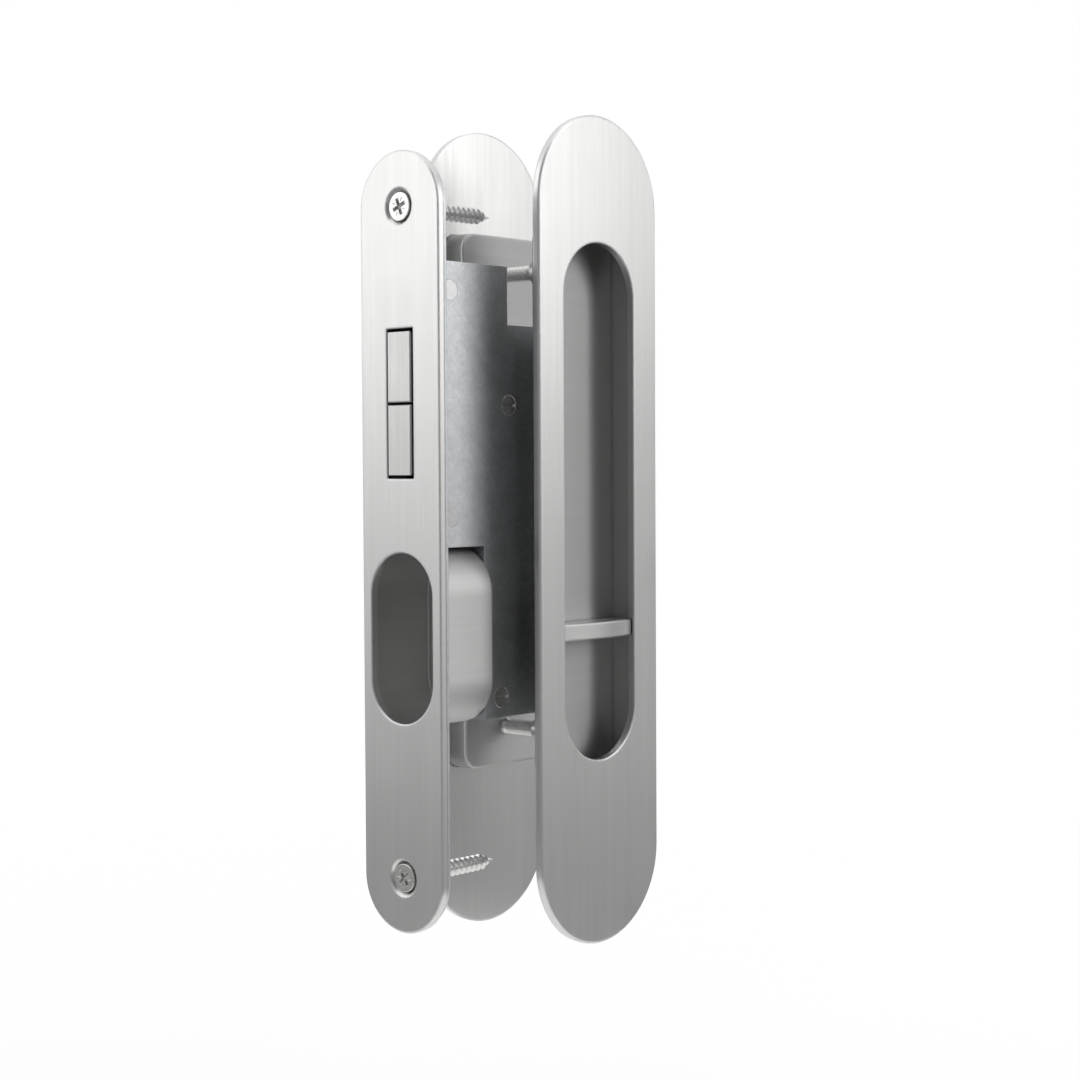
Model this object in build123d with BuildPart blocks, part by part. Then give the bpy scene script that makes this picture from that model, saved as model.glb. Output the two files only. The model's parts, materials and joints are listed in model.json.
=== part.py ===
"""Cavity sliding door lock: faceplate with two hook bolts, finger cup, and a flush pull on each face.

Frame: X runs into the door from its edge, Y through the door, Z up. The origin is the centre of the
faceplate's front face. The pull with the snib faces -Y. Lengths are in millimetres, angles in degrees.
"""

import os
from math import acos, cos, radians, sin

from build123d import *

os.makedirs("parts", exist_ok=True)

# Set-out
backset = 50.0
spindle_z = -23.0

# Flush pulls
pull_height = 210.0
pull_side = 9.25
pull_thickness = 2.0
pull_bevel = 0.4
recess_width = 27.0
recess_depth = 8.0
recess_rise = 7.5
cup_wall = 1.2
cup_ledge = 0.8
cup_overrun = 3.0
cup_corner = 3.0
cup_round = 0.8
cup_seat = 0.8
edge_break = 0.2

# Faceplate and fore-end
face_thickness = 2.0
face_margin = 3.0
face_bevel = 0.3
forend_thickness = 1.5
forend_inset = 0.8
forend_slot_gap = 1.6
screw_above_case = 13.0

# Finger cup
finger_height = 41.6
finger_width = 21.0
finger_depth = 20.0
finger_wall = 0.6
finger_ledge = 0.5
finger_fillet = 0.4

# Hook bolts
hook_face = 17.3
hook_thickness = 8.0
hook_proud = 0.3
hook_swing = 45.0
hook_split = 0.6
hook_bevel = 0.3
slot_gap = 0.5
pivot_above_slot = 9.4
pivot_pin_r = 2.5
boss_r = 5.0
boss_clear = 1.0
boss_above_notch = 0.95
throat_drop = 0.353
throat_angle = 218.4
arm_angle = 235.0
arm_inner = 14.3
hook_pin_r = 2.0
hook_pin_end_angle = -3.0
tail_r = 4.6
tail_clear = 2.0

# Carriage and hub
snib_turn = 90.0
carriage_thickness = 2.0
carriage_rim = 2.2
post_spacing = 6.0
crank_pin_r = 1.75
crank_reach = 4.2
fork_overlap = 1.5
journal_r = 5.0
cam_flat = 7.5
cam_corner = 1.26
cam_face = -1.0
spring_thickness = 0.6
spring_overhang = 4.5
spring_margin = 0.4
spring_drop = 11.95

# Snib, release, spindle and what carries them
spindle_side = 5.0
spindle_bevel = 0.3
socket_depth = 1.9
stem_r = 5.0
stem_tail = 1.6
stem_end_gap = 0.4
snib_thickness = 4.2
snib_bulge = 1.8
snib_proud = 0.9
snib_bevel = 0.35
snib_pin_inset = 0.3
release_r = 7.0
release_height = 2.0
release_bevel = 0.4
coin_slot_width = 2.0
coin_slot_depth = 1.4
bush_thickness = 1.2
bush_margin = 3.0
clip_thickness = 0.8
clip_margin = 2.2
groove_depth = 0.8

# Case, posts and fasteners
case_wall = 1.5
case_shoulder = 20.0
case_clear = 1.0
post_r = 2.5
cover_screw_r = 1.25
cover_screw_length = 7.0
screw_slot_width = 0.6
screw_slot_depth = 0.6
face_screw_r = 2.1
face_head_r = 3.5
face_head_land = 0.9
face_sink_r = 4.6
face_screw_length = 32.0
face_screw_point = 5.0
face_screw_clear = 1.3
bolt_r = 2.0
bolt_slot_width = 0.8
bolt_inset = 6.0
bolt_above_case = 15.0
bolt_below_case = 6.0
bolt_end_gap = 4.0
sleeve_r = 3.5
sleeve_floor = 3.0

# Clearances
running = 0.05
side_gap = 0.3
slide_gap = 0.15
flat_gap = 0.1

# Levels through the door, worked outward from the hooks to the pulls
hook_half = hook_thickness / 2
carriage_in = hook_half + side_gap
carriage_out = carriage_in + carriage_thickness
case_in = carriage_out + side_gap
case_out = case_in + case_wall
clip_in = case_out + stem_tail
clip_out = clip_in + clip_thickness
bush_back = clip_out + flat_gap
cup_back = bush_back + bush_thickness
floor_y = cup_back + cup_wall
pull_front = floor_y + recess_depth
door_half = pull_front - pull_thickness
stem_end = case_out + stem_end_gap

# Finger cup and the notch in the case behind it
cup_outer_w = finger_width + 2 * (finger_ledge + finger_wall)
cup_outer_h = finger_height + 2 * (finger_ledge + finger_wall)
notch_x = finger_depth + finger_wall + slide_gap
notch_z = spindle_z + cup_outer_h / 2 + slide_gap

# Crank: its throw sets the carriage's travel
half_turn = radians(snib_turn / 2)
crank_r = journal_r + crank_reach
travel = 2 * crank_r * sin(half_turn)
crank_steep = acos(travel / (crank_r * 2 * half_turn))
crank_lead = travel * (half_turn - crank_steep) / (2 * half_turn)
crank_bow = crank_r * (sin(crank_steep) - sin(half_turn)) + crank_lead
crank_x = backset + crank_r * sin(half_turn)
crank_z = spindle_z + crank_r * cos(half_turn)
fork_half = crank_pin_r + crank_bow + slide_gap
fork_top = spindle_z + crank_r + crank_pin_r + side_gap
fork_bottom = crank_z - fork_overlap

# Hooks: pivots beyond the slot's ends, drive pins that the travel swings through hook_swing
case_front = face_thickness + forend_thickness
slot_half = hook_split / 2 + hook_face + slot_gap
pivot_x = case_front + boss_clear + boss_r
pivot_rise = slot_half + pivot_above_slot
bolt_z = notch_z + case_wall + boss_above_notch + boss_r + pivot_rise
swing = radians(hook_swing)
end_angle = radians(hook_pin_end_angle)
start_angle = end_angle + swing
orbit = travel / (sin(start_angle) - sin(end_angle))
steep = acos(travel / (orbit * swing))
hook_bow = orbit * (sin(steep) - sin(start_angle)) + travel * (start_angle - steep) / swing
hook_pin_x = pivot_x + orbit * sin(start_angle)
hook_pin_rise = pivot_rise - orbit * cos(start_angle)
hook_pin_low = pivot_rise - orbit * cos(end_angle)
pin_angle = hook_pin_end_angle + hook_swing - 90.0
pivots = [(pivot_x, bolt_z + pivot_rise), (pivot_x, bolt_z - pivot_rise)]

# Carriage outline and its two guide posts
head_x = hook_pin_x + hook_bow / 2
head_half = hook_pin_r + hook_bow / 2 + slide_gap
head_left = head_x - head_half - carriage_rim
head_right = head_x + head_half + carriage_rim
head_rise = hook_pin_rise + head_half + carriage_rim
guide_half = post_r + slide_gap
bar_half = guide_half + 2 * carriage_rim
arm_right = crank_x + fork_half + carriage_rim
arm_post_x = arm_right - carriage_rim - guide_half - travel
arm_left = arm_post_x - guide_half - carriage_rim
bar_post = (head_right + guide_half + case_clear, bolt_z)
arm_post = (arm_post_x, fork_top + guide_half + 2 * carriage_rim + post_spacing)

# Case outline, the posts in its corners and the screws through the faceplate
case_rear = arm_right + case_clear + case_wall
case_top = bolt_z + pivot_rise + boss_r + case_clear / 2 + case_wall
case_step_x = hook_pin_x + tail_r + tail_clear + case_wall
case_step_z = bolt_z + case_shoulder
leaf_top = spindle_z - cam_flat - running
case_bottom = leaf_top - spring_drop - case_wall
corner = case_wall + post_r + case_clear
rear_post = (case_rear - corner, case_step_z - corner)
foot_post = (notch_x + corner + case_clear, case_bottom + corner)
posts = [bar_post, arm_post, rear_post, foot_post]
screw_z = case_top + screw_above_case
face_width = finger_width + 2 * face_margin
face_height = 2 * screw_z + face_width

# Pulls: their bolts pass above and below the case, and the recess runs past the bolts
upper_bolt_z = case_step_z + bolt_above_case
lower_bolt_z = case_bottom - bolt_below_case
pull_bolt_spots = [(backset, upper_bolt_z), (backset, lower_bolt_z)]
recess_height = upper_bolt_z - lower_bolt_z + 2 * bolt_inset
recess_z = (upper_bolt_z + lower_bolt_z) / 2
pull_width = recess_width + 2 * pull_side
pull_z = recess_z - recess_rise
cup_height = recess_height + 2 * cup_overrun
cup_width = recess_width + 2 * cup_ledge
cup_rim = door_half + cup_seat

# Fits of the two turns
axis_at = (backset, spindle_z)
hub_hole_r = journal_r + running
socket_side = spindle_side + 2 * running
bush_bore_r = stem_r + running
bush_r = stem_r + bush_margin
snib_pin_r = snib_thickness / 2 - snib_pin_inset
hub_front = cup_back - flat_gap
groove_r = stem_r - groove_depth
spindle_half = stem_end + socket_depth


def across(y):
    """Sketch plane facing -Y at level y, with X right and Z up."""
    return Plane(origin=(0, y, 0), x_dir=(1, 0, 0), z_dir=(0, -1, 0))


def edgewise(x):
    """Sketch plane facing +X at depth x, with Y right and Z up."""
    return Plane(origin=(x, 0, 0), x_dir=(0, 1, 0), z_dir=(1, 0, 0))


def levels(side, one, other):
    """Higher and lower level of Y for two distances from the door's middle on one side."""
    return max(side * one, side * other), min(side * one, side * other)


def disc(centre, r, high, low, mode=Mode.ADD):
    """Cylinder through the door between two levels of Y."""
    with BuildSketch(across(high)) as outline:
        with Locations(centre):
            Circle(r)
    extrude(outline.sketch, amount=high - low, mode=mode)


def block(x0, x1, z0, z1, high, low, mode=Mode.ADD):
    """Box in the plane of the door between two levels of Y."""
    with BuildSketch(across(high)) as outline:
        with Locations(((x0 + x1) / 2, (z0 + z1) / 2)):
            Rectangle(x1 - x0, z1 - z0)
    extrude(outline.sketch, amount=high - low, mode=mode)


def square_hole(high, low):
    """Square hole for the spindle between two levels of Y."""
    half = socket_side / 2
    block(backset - half, backset + half, spindle_z - half, spindle_z + half, high, low, Mode.SUBTRACT)


def cross_slot(centre, length, width, high, low):
    """Level screwdriver slot in a head between two levels of Y."""
    x, z = centre
    block(x - length / 2, x + length / 2, z - width / 2, z + width / 2, high, low, Mode.SUBTRACT)


def round_slot(centre, length, width, high, low, mode=Mode.SUBTRACT, turn=90):
    """Round-ended slot in the plane of the door between two levels of Y."""
    with BuildSketch(across(high)) as outline:
        with Locations(centre):
            SlotOverall(length, width, rotation=turn)
    extrude(outline.sketch, amount=high - low, mode=mode)


def edge_slot(z, length, width, x0, x1, mode=Mode.ADD):
    """Upright round-ended slot across the door's edge between two depths."""
    with BuildSketch(edgewise(x0)) as outline:
        with Locations((0, z)):
            SlotOverall(length, width, rotation=90)
    extrude(outline.sketch, amount=x1 - x0, mode=mode)


def sunk_head(centre, head_r, shank_r, top, side, mode):
    """Countersunk cone with its wide face at level top, facing outward on one side."""
    depth = head_r - shank_r
    tilt = 90 if side < 0 else -90
    with Locations(Location((centre[0], top - side * depth / 2, centre[1]), (tilt, 0, 0))):
        Cone(shank_r, head_r, depth, mode=mode)


def outer_face(side):
    """Face of the current part that looks outward on one side of the door."""
    return faces().filter_by(Axis.Y).sort_by(Axis.Y)[0 if side < 0 else -1]


def inner_face(side):
    """Face of the current part that looks into the door on one side."""
    return faces().filter_by(Axis.Y).sort_by(Axis.Y)[-1 if side < 0 else 0]


def cup_prism(margin, high, low, mode=Mode.ADD):
    """Prism with the outline of a pull cup's hollow, widened by margin, between two levels of Y."""
    with BuildSketch(across(high)) as outline:
        with Locations((backset, recess_z)):
            RectangleRounded(cup_width + 2 * margin, cup_height + 2 * margin, cup_corner + margin)
    extrude(outline.sketch, amount=high - low, mode=mode)


def pull_plate(side):
    """Plate of the pull on one face of the door, grooved for its cup; side is -1 for the snib's face."""
    high, low = levels(side, door_half, pull_front)
    round_slot((backset, pull_z), pull_height, pull_width, high, low, Mode.ADD)
    chamfer(outer_face(side).edges(), pull_bevel)
    groove = levels(side, door_half, cup_rim)
    cup_prism(cup_wall + flat_gap, *groove, Mode.SUBTRACT)
    cup_prism(-flat_gap, *groove)
    round_slot((backset, recess_z), recess_height, recess_width, high, low)
    chamfer([edge for wire in outer_face(side).inner_wires() for edge in wire.edges()], edge_break)


def pull_cup(side, hole_r):
    """Square-cornered cup let into the back of the pull plate, with a hole for the turn."""
    high, low = levels(side, cup_rim, cup_back)
    cup_prism(cup_wall, high, low)
    fillet(inner_face(side).edges(), cup_round)
    cup_prism(0, *levels(side, cup_rim, floor_y), Mode.SUBTRACT)
    disc(axis_at, hole_r, high, low, Mode.SUBTRACT)


def case_plate(high, low, inset=0.0, mode=Mode.ADD):
    """Plate with the case's outline, drawn in by inset except at its open front."""
    with BuildSketch(across(high)) as outline:
        with BuildLine():
            Polyline(
                (case_front, case_top - inset),
                (case_step_x - inset, case_top - inset),
                (case_step_x - inset, case_step_z - inset),
                (case_rear - inset, case_step_z - inset),
                (case_rear - inset, case_bottom + inset),
                (notch_x + inset, case_bottom + inset),
                (notch_x + inset, notch_z + inset),
                (case_front, notch_z + inset),
                close=True,
            )
        make_face()
    extrude(outline.sketch, amount=high - low, mode=mode)


def hook(up):
    """Hook bolt of claw, arm, boss and drive tail; up is 1 for the hook that swings up."""

    def at(x, rise):
        return (x, bolt_z + up * rise)

    def polar(r, angle):
        turn = radians(angle)
        return at(pivot_x + r * cos(turn), pivot_rise + r * sin(turn))

    def on_tail(angle):
        turn = radians(angle)
        return at(hook_pin_x + tail_r * cos(turn), hook_pin_rise + tail_r * sin(turn))

    low = hook_split / 2
    reach = pivot_rise - low
    throat = polar(pivot_rise - hook_face * throat_drop, throat_angle + hook_swing)
    arm = arm_angle + hook_swing
    with BuildSketch(across(hook_half)) as outline:
        with BuildLine():
            Polyline(
                at(pivot_x, low),
                at(-hook_proud, low),
                at(-hook_proud, low + hook_face),
                throat,
                polar(arm_inner, arm),
                polar(boss_r, arm),
                at(pivot_x, pivot_rise),
                polar(boss_r, pin_angle + 98),
                on_tail(pin_angle + 90),
                at(hook_pin_x, hook_pin_rise),
                on_tail(pin_angle - 40),
                polar(reach, 285),
                polar(reach, 280),
                polar(reach, 275),
                close=True,
            )
        make_face()
        with Locations(at(pivot_x, pivot_rise)):
            Circle(boss_r)
        with Locations(at(hook_pin_x, hook_pin_rise)):
            Circle(tail_r)
    extrude(outline.sketch, amount=hook_thickness)
    chamfer(faces().sort_by(Axis.X)[0].edges(), hook_bevel)
    disc(at(pivot_x, pivot_rise), pivot_pin_r + running, hook_half, -hook_half, Mode.SUBTRACT)
    disc(at(hook_pin_x, hook_pin_rise), hook_pin_r, hook_half, -hook_half, Mode.SUBTRACT)


# Faceplate with its bolt slot, finger slot and countersinks
with BuildPart() as faceplate:
    edge_slot(0, face_height, face_width, 0, face_thickness)
    chamfer(faces().sort_by(Axis.X)[0].edges(), face_bevel)
    with BuildSketch(edgewise(0)):
        with Locations((0, bolt_z)):
            Rectangle(hook_thickness + 2 * slot_gap, 2 * slot_half)
    extrude(amount=face_thickness, mode=Mode.SUBTRACT)
    edge_slot(spindle_z, finger_height, finger_width, 0, face_thickness, Mode.SUBTRACT)
    front = faces().sort_by(Axis.X)[0]
    chamfer([edge for wire in front.inner_wires() for edge in wire.edges()], edge_break)
    for z in (screw_z, -screw_z):
        with Locations(Location((face_thickness / 2, 0, z), (0, 90, 0))):
            Cone(face_sink_r, face_sink_r - face_thickness, face_thickness, mode=Mode.SUBTRACT)
faceplate.part.label = "faceplate"
export_step(faceplate.part, "parts/faceplate.step")

# Fore-end that the case is welded to
with BuildPart() as inner_forend:
    edge_slot(0, face_height - 2 * forend_inset, face_width - 2 * forend_inset, face_thickness, case_front)
    with BuildSketch(edgewise(face_thickness)):
        with Locations((0, bolt_z)):
            Rectangle(hook_thickness + 2 * forend_slot_gap, 2 * slot_half + 2 * forend_slot_gap)
        with Locations((0, spindle_z)):
            SlotOverall(cup_outer_h + 2 * flat_gap, cup_outer_w + 2 * flat_gap, rotation=90)
        with Locations((0, screw_z), (0, -screw_z)):
            Circle(face_screw_r + face_screw_clear)
    extrude(amount=forend_thickness, mode=Mode.SUBTRACT)
inner_forend.part.label = "inner_forend"
export_step(inner_forend.part, "parts/inner_forend.step")

# Faceplate screws, seated on the countersinks
head_seat = face_sink_r - face_head_r
with BuildPart() as faceplate_screws:
    for z in (screw_z, -screw_z):
        with BuildSketch(across(0)):
            with BuildLine():
                Polyline(
                    (head_seat - face_head_land, z),
                    (head_seat - face_head_land, z + face_head_r),
                    (head_seat, z + face_head_r),
                    (face_sink_r - face_screw_r, z + face_screw_r),
                    (face_screw_length - face_screw_point, z + face_screw_r),
                    (face_screw_length, z),
                    close=True,
                )
            make_face()
        revolve(axis=Axis((0, 0, z), (1, 0, 0)))
faceplate_screws.part.label = "faceplate_screws"
export_step(faceplate_screws.part, "parts/faceplate_screws.step")

# Finger cup behind the faceplate
with BuildPart() as finger_cup:
    edge_slot(spindle_z, cup_outer_h, cup_outer_w, face_thickness, finger_depth + finger_wall)
    fillet(faces().sort_by(Axis.X)[-1].edges(), finger_fillet + finger_wall)
    with BuildPart(mode=Mode.SUBTRACT):
        inner_h = finger_height + 2 * finger_ledge
        inner_w = finger_width + 2 * finger_ledge
        edge_slot(spindle_z, inner_h, inner_w, face_thickness, finger_depth)
        fillet(faces().sort_by(Axis.X)[-1].edges(), finger_fillet)
finger_cup.part.label = "finger_cup"
export_step(finger_cup.part, "parts/finger_cup.step")

# Case: tray with its back at +Y and an open front
with BuildPart() as case_body:
    case_plate(case_out, -case_in)
    case_plate(case_in, -case_in, case_wall, Mode.SUBTRACT)
    disc(axis_at, hub_hole_r, case_out, case_in, Mode.SUBTRACT)
    for spot in pivots:
        disc(spot, pivot_pin_r, case_out, case_in, Mode.SUBTRACT)
    for spot in posts:
        disc(spot, post_r, case_out, case_in, Mode.SUBTRACT)
case_body.part.label = "case_body"
export_step(case_body.part, "parts/case_body.step")

# Lid of the case at -Y, countersunk for its screws
cover_head_r = cover_screw_r + 0.9 * case_wall
with BuildPart() as case_cover:
    case_plate(-case_in, -case_out)
    disc(axis_at, hub_hole_r, -case_in, -case_out, Mode.SUBTRACT)
    for spot in pivots:
        disc(spot, pivot_pin_r, -case_in, -case_out, Mode.SUBTRACT)
    for spot in posts:
        disc(spot, cover_screw_r, -case_in, -case_out, Mode.SUBTRACT)
        sunk_head(spot, cover_head_r, cover_screw_r, -case_out, -1, Mode.SUBTRACT)
case_cover.part.label = "case_cover"
export_step(case_cover.part, "parts/case_cover.step")

# Posts that space the case and guide the carriage, tapped at the lid's end
with BuildPart() as case_posts:
    for spot in posts:
        disc(spot, post_r, case_out, -case_in)
        disc(spot, cover_screw_r, -case_in + cover_screw_length, -case_in, Mode.SUBTRACT)
case_posts.part.label = "case_posts"
export_step(case_posts.part, "parts/case_posts.step")

# Lid screws
with BuildPart() as case_cover_screws:
    for spot in posts:
        disc(spot, cover_screw_r, -case_out + cover_screw_length, -case_out)
        sunk_head(spot, cover_head_r, cover_screw_r, -case_out, -1, Mode.ADD)
        slot_floor = -case_out + screw_slot_depth
        cross_slot(spot, 2 * cover_head_r, screw_slot_width, slot_floor, -case_out)
case_cover_screws.part.label = "case_cover_screws"
export_step(case_cover_screws.part, "parts/case_cover_screws.step")

# Pins that the hooks swing on, riveted in both skins
with BuildPart() as hook_pivot_pins:
    for spot in pivots:
        disc(spot, pivot_pin_r, case_out, -case_out)
hook_pivot_pins.part.label = "hook_pivot_pins"
export_step(hook_pivot_pins.part, "parts/hook_pivot_pins.step")

# Rings that centre the hooks between the skins
with BuildPart() as hook_spacers:
    for spot in pivots:
        for high, low in ((case_in, hook_half + flat_gap), (-hook_half - flat_gap, -case_in)):
            disc(spot, 0.9 * boss_r, high, low)
            disc(spot, pivot_pin_r, high, low, Mode.SUBTRACT)
hook_spacers.part.label = "hook_spacers"
export_step(hook_spacers.part, "parts/hook_spacers.step")

# Hook bolts and the drive pins pressed into them
with BuildPart() as upper_hook:
    hook(1)
upper_hook.part.label = "upper_hook"
export_step(upper_hook.part, "parts/upper_hook.step")

with BuildPart() as lower_hook:
    hook(-1)
lower_hook.part.label = "lower_hook"
export_step(lower_hook.part, "parts/lower_hook.step")

with BuildPart() as upper_hook_pin:
    disc((hook_pin_x, bolt_z + hook_pin_rise), hook_pin_r, carriage_out - flat_gap, -hook_half)
upper_hook_pin.part.label = "upper_hook_pin"
export_step(upper_hook_pin.part, "parts/upper_hook_pin.step")

with BuildPart() as lower_hook_pin:
    disc((hook_pin_x, bolt_z - hook_pin_rise), hook_pin_r, carriage_out - flat_gap, -hook_half)
lower_hook_pin.part.label = "lower_hook_pin"
export_step(lower_hook_pin.part, "parts/lower_hook_pin.step")

# Carriage: head with the hooks' slots, bar and arm on the guide posts, fork on the crank pin
with BuildPart() as drive_carriage:
    plate = (carriage_out, carriage_in)
    block(head_left, head_right, bolt_z - head_rise, bolt_z + head_rise, *plate)
    block(head_left, arm_right, bolt_z - bar_half, bolt_z + bar_half, *plate)
    block(arm_left, arm_right, fork_top + carriage_rim, bolt_z, *plate)
    block(crank_x - fork_half - carriage_rim, arm_right, fork_bottom, fork_top + carriage_rim, *plate)
    block(crank_x - fork_half, crank_x + fork_half, fork_bottom, fork_top, *plate, Mode.SUBTRACT)
    slot_mid = (hook_pin_rise + hook_pin_low) / 2
    slot_length = hook_pin_rise - hook_pin_low + 2 * head_half
    for way in (1, -1):
        round_slot((head_x, bolt_z + way * slot_mid), slot_length, 2 * head_half, *plate)
    for x, z in (bar_post, arm_post):
        round_slot((x + travel / 2, z), travel + 2 * guide_half, 2 * guide_half, *plate, turn=0)
drive_carriage.part.label = "drive_carriage"
export_step(drive_carriage.part, "parts/drive_carriage.step")

# Hub that the spindle turns: journals, square detent cam and crank arm
cam_low = -case_in + 2 * flat_gap
with BuildPart() as follower_hub:
    disc(axis_at, journal_r, case_out, -case_out)
    disc(axis_at, cam_flat, hook_half, cam_low)
    with BuildSketch(across(cam_face)):
        with Locations(axis_at):
            Rectangle(2 * cam_flat, 2 * cam_flat)
            Circle(cam_flat * cam_corner, mode=Mode.INTERSECT)
    extrude(amount=cam_face - cam_low)
    with BuildSketch(across(hook_half)):
        with Locations(((backset + crank_x) / 2, (spindle_z + crank_z) / 2)):
            SlotCenterToCenter(crank_r, 2 * (crank_pin_r + carriage_rim), rotation=90 - snib_turn / 2)
    extrude(amount=hook_half - cam_face)
    square_hole(case_out, -case_out)
    disc((crank_x, crank_z), crank_pin_r, hook_half, cam_face, Mode.SUBTRACT)
follower_hub.part.label = "follower_hub"
export_step(follower_hub.part, "parts/follower_hub.step")

with BuildPart() as crank_pin:
    disc((crank_x, crank_z), crank_pin_r, carriage_out - flat_gap, cam_face)
crank_pin.part.label = "crank_pin"
export_step(crank_pin.part, "parts/crank_pin.step")

# Leaf under the hub's flat, with its foot against the case's rear wall
leaf_rear = case_rear - case_wall
with BuildPart() as detent_spring:
    leaf = (cam_face - spring_margin, cam_low + spring_margin)
    leaf_tip = backset - cam_flat - spring_overhang
    block(leaf_tip, leaf_rear, leaf_top - spring_thickness, leaf_top, *leaf)
    block(leaf_rear - spring_thickness, leaf_rear, case_bottom + case_wall, leaf_top, *leaf)
detent_spring.part.label = "detent_spring"
export_step(detent_spring.part, "parts/detent_spring.step")

# Square bar through the hub into both turns
with BuildPart() as spindle:
    half = spindle_side / 2
    block(backset - half, backset + half, spindle_z - half, spindle_z + half, spindle_half, -spindle_half)
    chamfer(edges().filter_by(Axis.Y), spindle_bevel)
spindle.part.label = "spindle"
export_step(spindle.part, "parts/spindle.step")

# Snib: bar across the recess with a bowed front and rounded ends, on a pin that the bar covers
snib_r = recess_width / 2 - side_gap
snib_front = pull_front + snib_proud
snib_base = floor_y + side_gap
with BuildPart() as snib:
    with BuildSketch(Plane(origin=(backset, 0, spindle_z - snib_thickness / 2))):
        with BuildLine():
            Polyline(
                (snib_r, snib_bulge - snib_front),
                (snib_r, -snib_base),
                (-snib_r, -snib_base),
                (-snib_r, snib_bulge - snib_front),
            )
            ThreePointArc(
                (snib_r, snib_bulge - snib_front),
                (0, -snib_front),
                (-snib_r, snib_bulge - snib_front),
            )
        make_face()
    extrude(amount=snib_thickness)
    disc(axis_at, snib_r, 0, -2 * snib_front, Mode.INTERSECT)
    bow = edges().filter_by(GeomType.CIRCLE).filter_by(lambda edge: -edge.center().Y > snib_base)
    chamfer(bow, snib_bevel)
    disc(axis_at, snib_pin_r, -spindle_half - side_gap, -snib_base)
snib.part.label = "snib"
export_step(snib.part, "parts/snib.step")

# Hub riveted on the snib's pin behind the cup floor, with a square socket for the spindle
with BuildPart() as snib_hub:
    disc(axis_at, stem_r, -stem_end, -hub_front)
    square_hole(-stem_end, -spindle_half - flat_gap)
    disc(axis_at, snib_pin_r, -spindle_half, -hub_front, Mode.SUBTRACT)
snib_hub.part.label = "snib_hub"
export_step(snib_hub.part, "parts/snib_hub.step")

# Coin-slot release on the other face, on a grooved stem with the same socket
with BuildPart() as release_turn:
    release_base = floor_y + flat_gap
    release_top = release_base + release_height
    disc(axis_at, release_r, release_top, release_base)
    chamfer(faces().sort_by(Axis.Y)[-1].edges(), release_bevel)
    cross_slot(axis_at, 2 * release_r, coin_slot_width, release_top, release_top - coin_slot_depth)
    disc(axis_at, stem_r, release_base, stem_end)
    with BuildPart(mode=Mode.SUBTRACT):
        disc(axis_at, 2 * stem_r, clip_out + running, clip_in - running)
        disc(axis_at, groove_r, clip_out + running, clip_in - running, Mode.SUBTRACT)
    square_hole(spindle_half + flat_gap, stem_end)
release_turn.part.label = "release_turn"
export_step(release_turn.part, "parts/release_turn.step")

# Bushes behind the cup floors, and the clip that holds the release's stem in its bush
with BuildPart() as turn_bushes:
    for side in (-1, 1):
        disc(axis_at, bush_r, *levels(side, cup_back, bush_back))
        disc(axis_at, bush_bore_r, *levels(side, cup_back, bush_back), Mode.SUBTRACT)
turn_bushes.part.label = "turn_bushes"
export_step(turn_bushes.part, "parts/turn_bushes.step")

with BuildPart() as release_clip:
    clip_r = stem_r + clip_margin
    mouth = 0.8 * groove_r
    disc(axis_at, clip_r, clip_out, clip_in)
    disc(axis_at, groove_r, clip_out, clip_in, Mode.SUBTRACT)
    mouth_foot = spindle_z - 2 * clip_r
    block(backset - mouth, backset + mouth, mouth_foot, spindle_z, clip_out, clip_in, Mode.SUBTRACT)
release_clip.part.label = "release_clip"
export_step(release_clip.part, "parts/release_clip.step")

# Pulls
with BuildPart() as inside_pull_plate:
    pull_plate(-1)
inside_pull_plate.part.label = "inside_pull_plate"
export_step(inside_pull_plate.part, "parts/inside_pull_plate.step")

with BuildPart() as outside_pull_plate:
    pull_plate(1)
outside_pull_plate.part.label = "outside_pull_plate"
export_step(outside_pull_plate.part, "parts/outside_pull_plate.step")

with BuildPart() as inside_pull_cup:
    pull_cup(-1, snib_pin_r + slide_gap)
inside_pull_cup.part.label = "inside_pull_cup"
export_step(inside_pull_cup.part, "parts/inside_pull_cup.step")

bolt_head_r = bolt_r + cup_wall
with BuildPart() as outside_pull_cup:
    pull_cup(1, stem_r + side_gap)
    for spot in pull_bolt_spots:
        sunk_head(spot, bolt_head_r, bolt_r, floor_y, 1, Mode.SUBTRACT)
outside_pull_cup.part.label = "outside_pull_cup"
export_step(outside_pull_cup.part, "parts/outside_pull_cup.step")

# Bolts from the outside pull and the sleeves welded to the inside pull
with BuildPart() as pull_bolts:
    for spot in pull_bolt_spots:
        disc(spot, bolt_r, floor_y, -cup_back + bolt_end_gap)
        sunk_head(spot, bolt_head_r, bolt_r, floor_y, 1, Mode.ADD)
        cross_slot(spot, 2 * bolt_head_r, bolt_slot_width, floor_y, floor_y - bolt_slot_width)
pull_bolts.part.label = "pull_bolts"
export_step(pull_bolts.part, "parts/pull_bolts.step")

with BuildPart() as pull_sleeves:
    for spot in pull_bolt_spots:
        disc(spot, sleeve_r, 0, -cup_back)
        disc(spot, bolt_r, 0, -cup_back + sleeve_floor, Mode.SUBTRACT)
pull_sleeves.part.label = "pull_sleeves"
export_step(pull_sleeves.part, "parts/pull_sleeves.step")
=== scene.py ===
"""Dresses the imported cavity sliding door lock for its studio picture.

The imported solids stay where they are. This script gives every piece its finish, swaps the plain screws
and bolts for ones with threads and driver recesses, and sets up the camera, floor and light. Lengths are
in metres.
"""

import json
import logging
import math
from dataclasses import dataclass, field, replace
from enum import Enum
from functools import lru_cache

import bmesh
import bpy
from mathutils import Matrix, Vector


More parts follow.
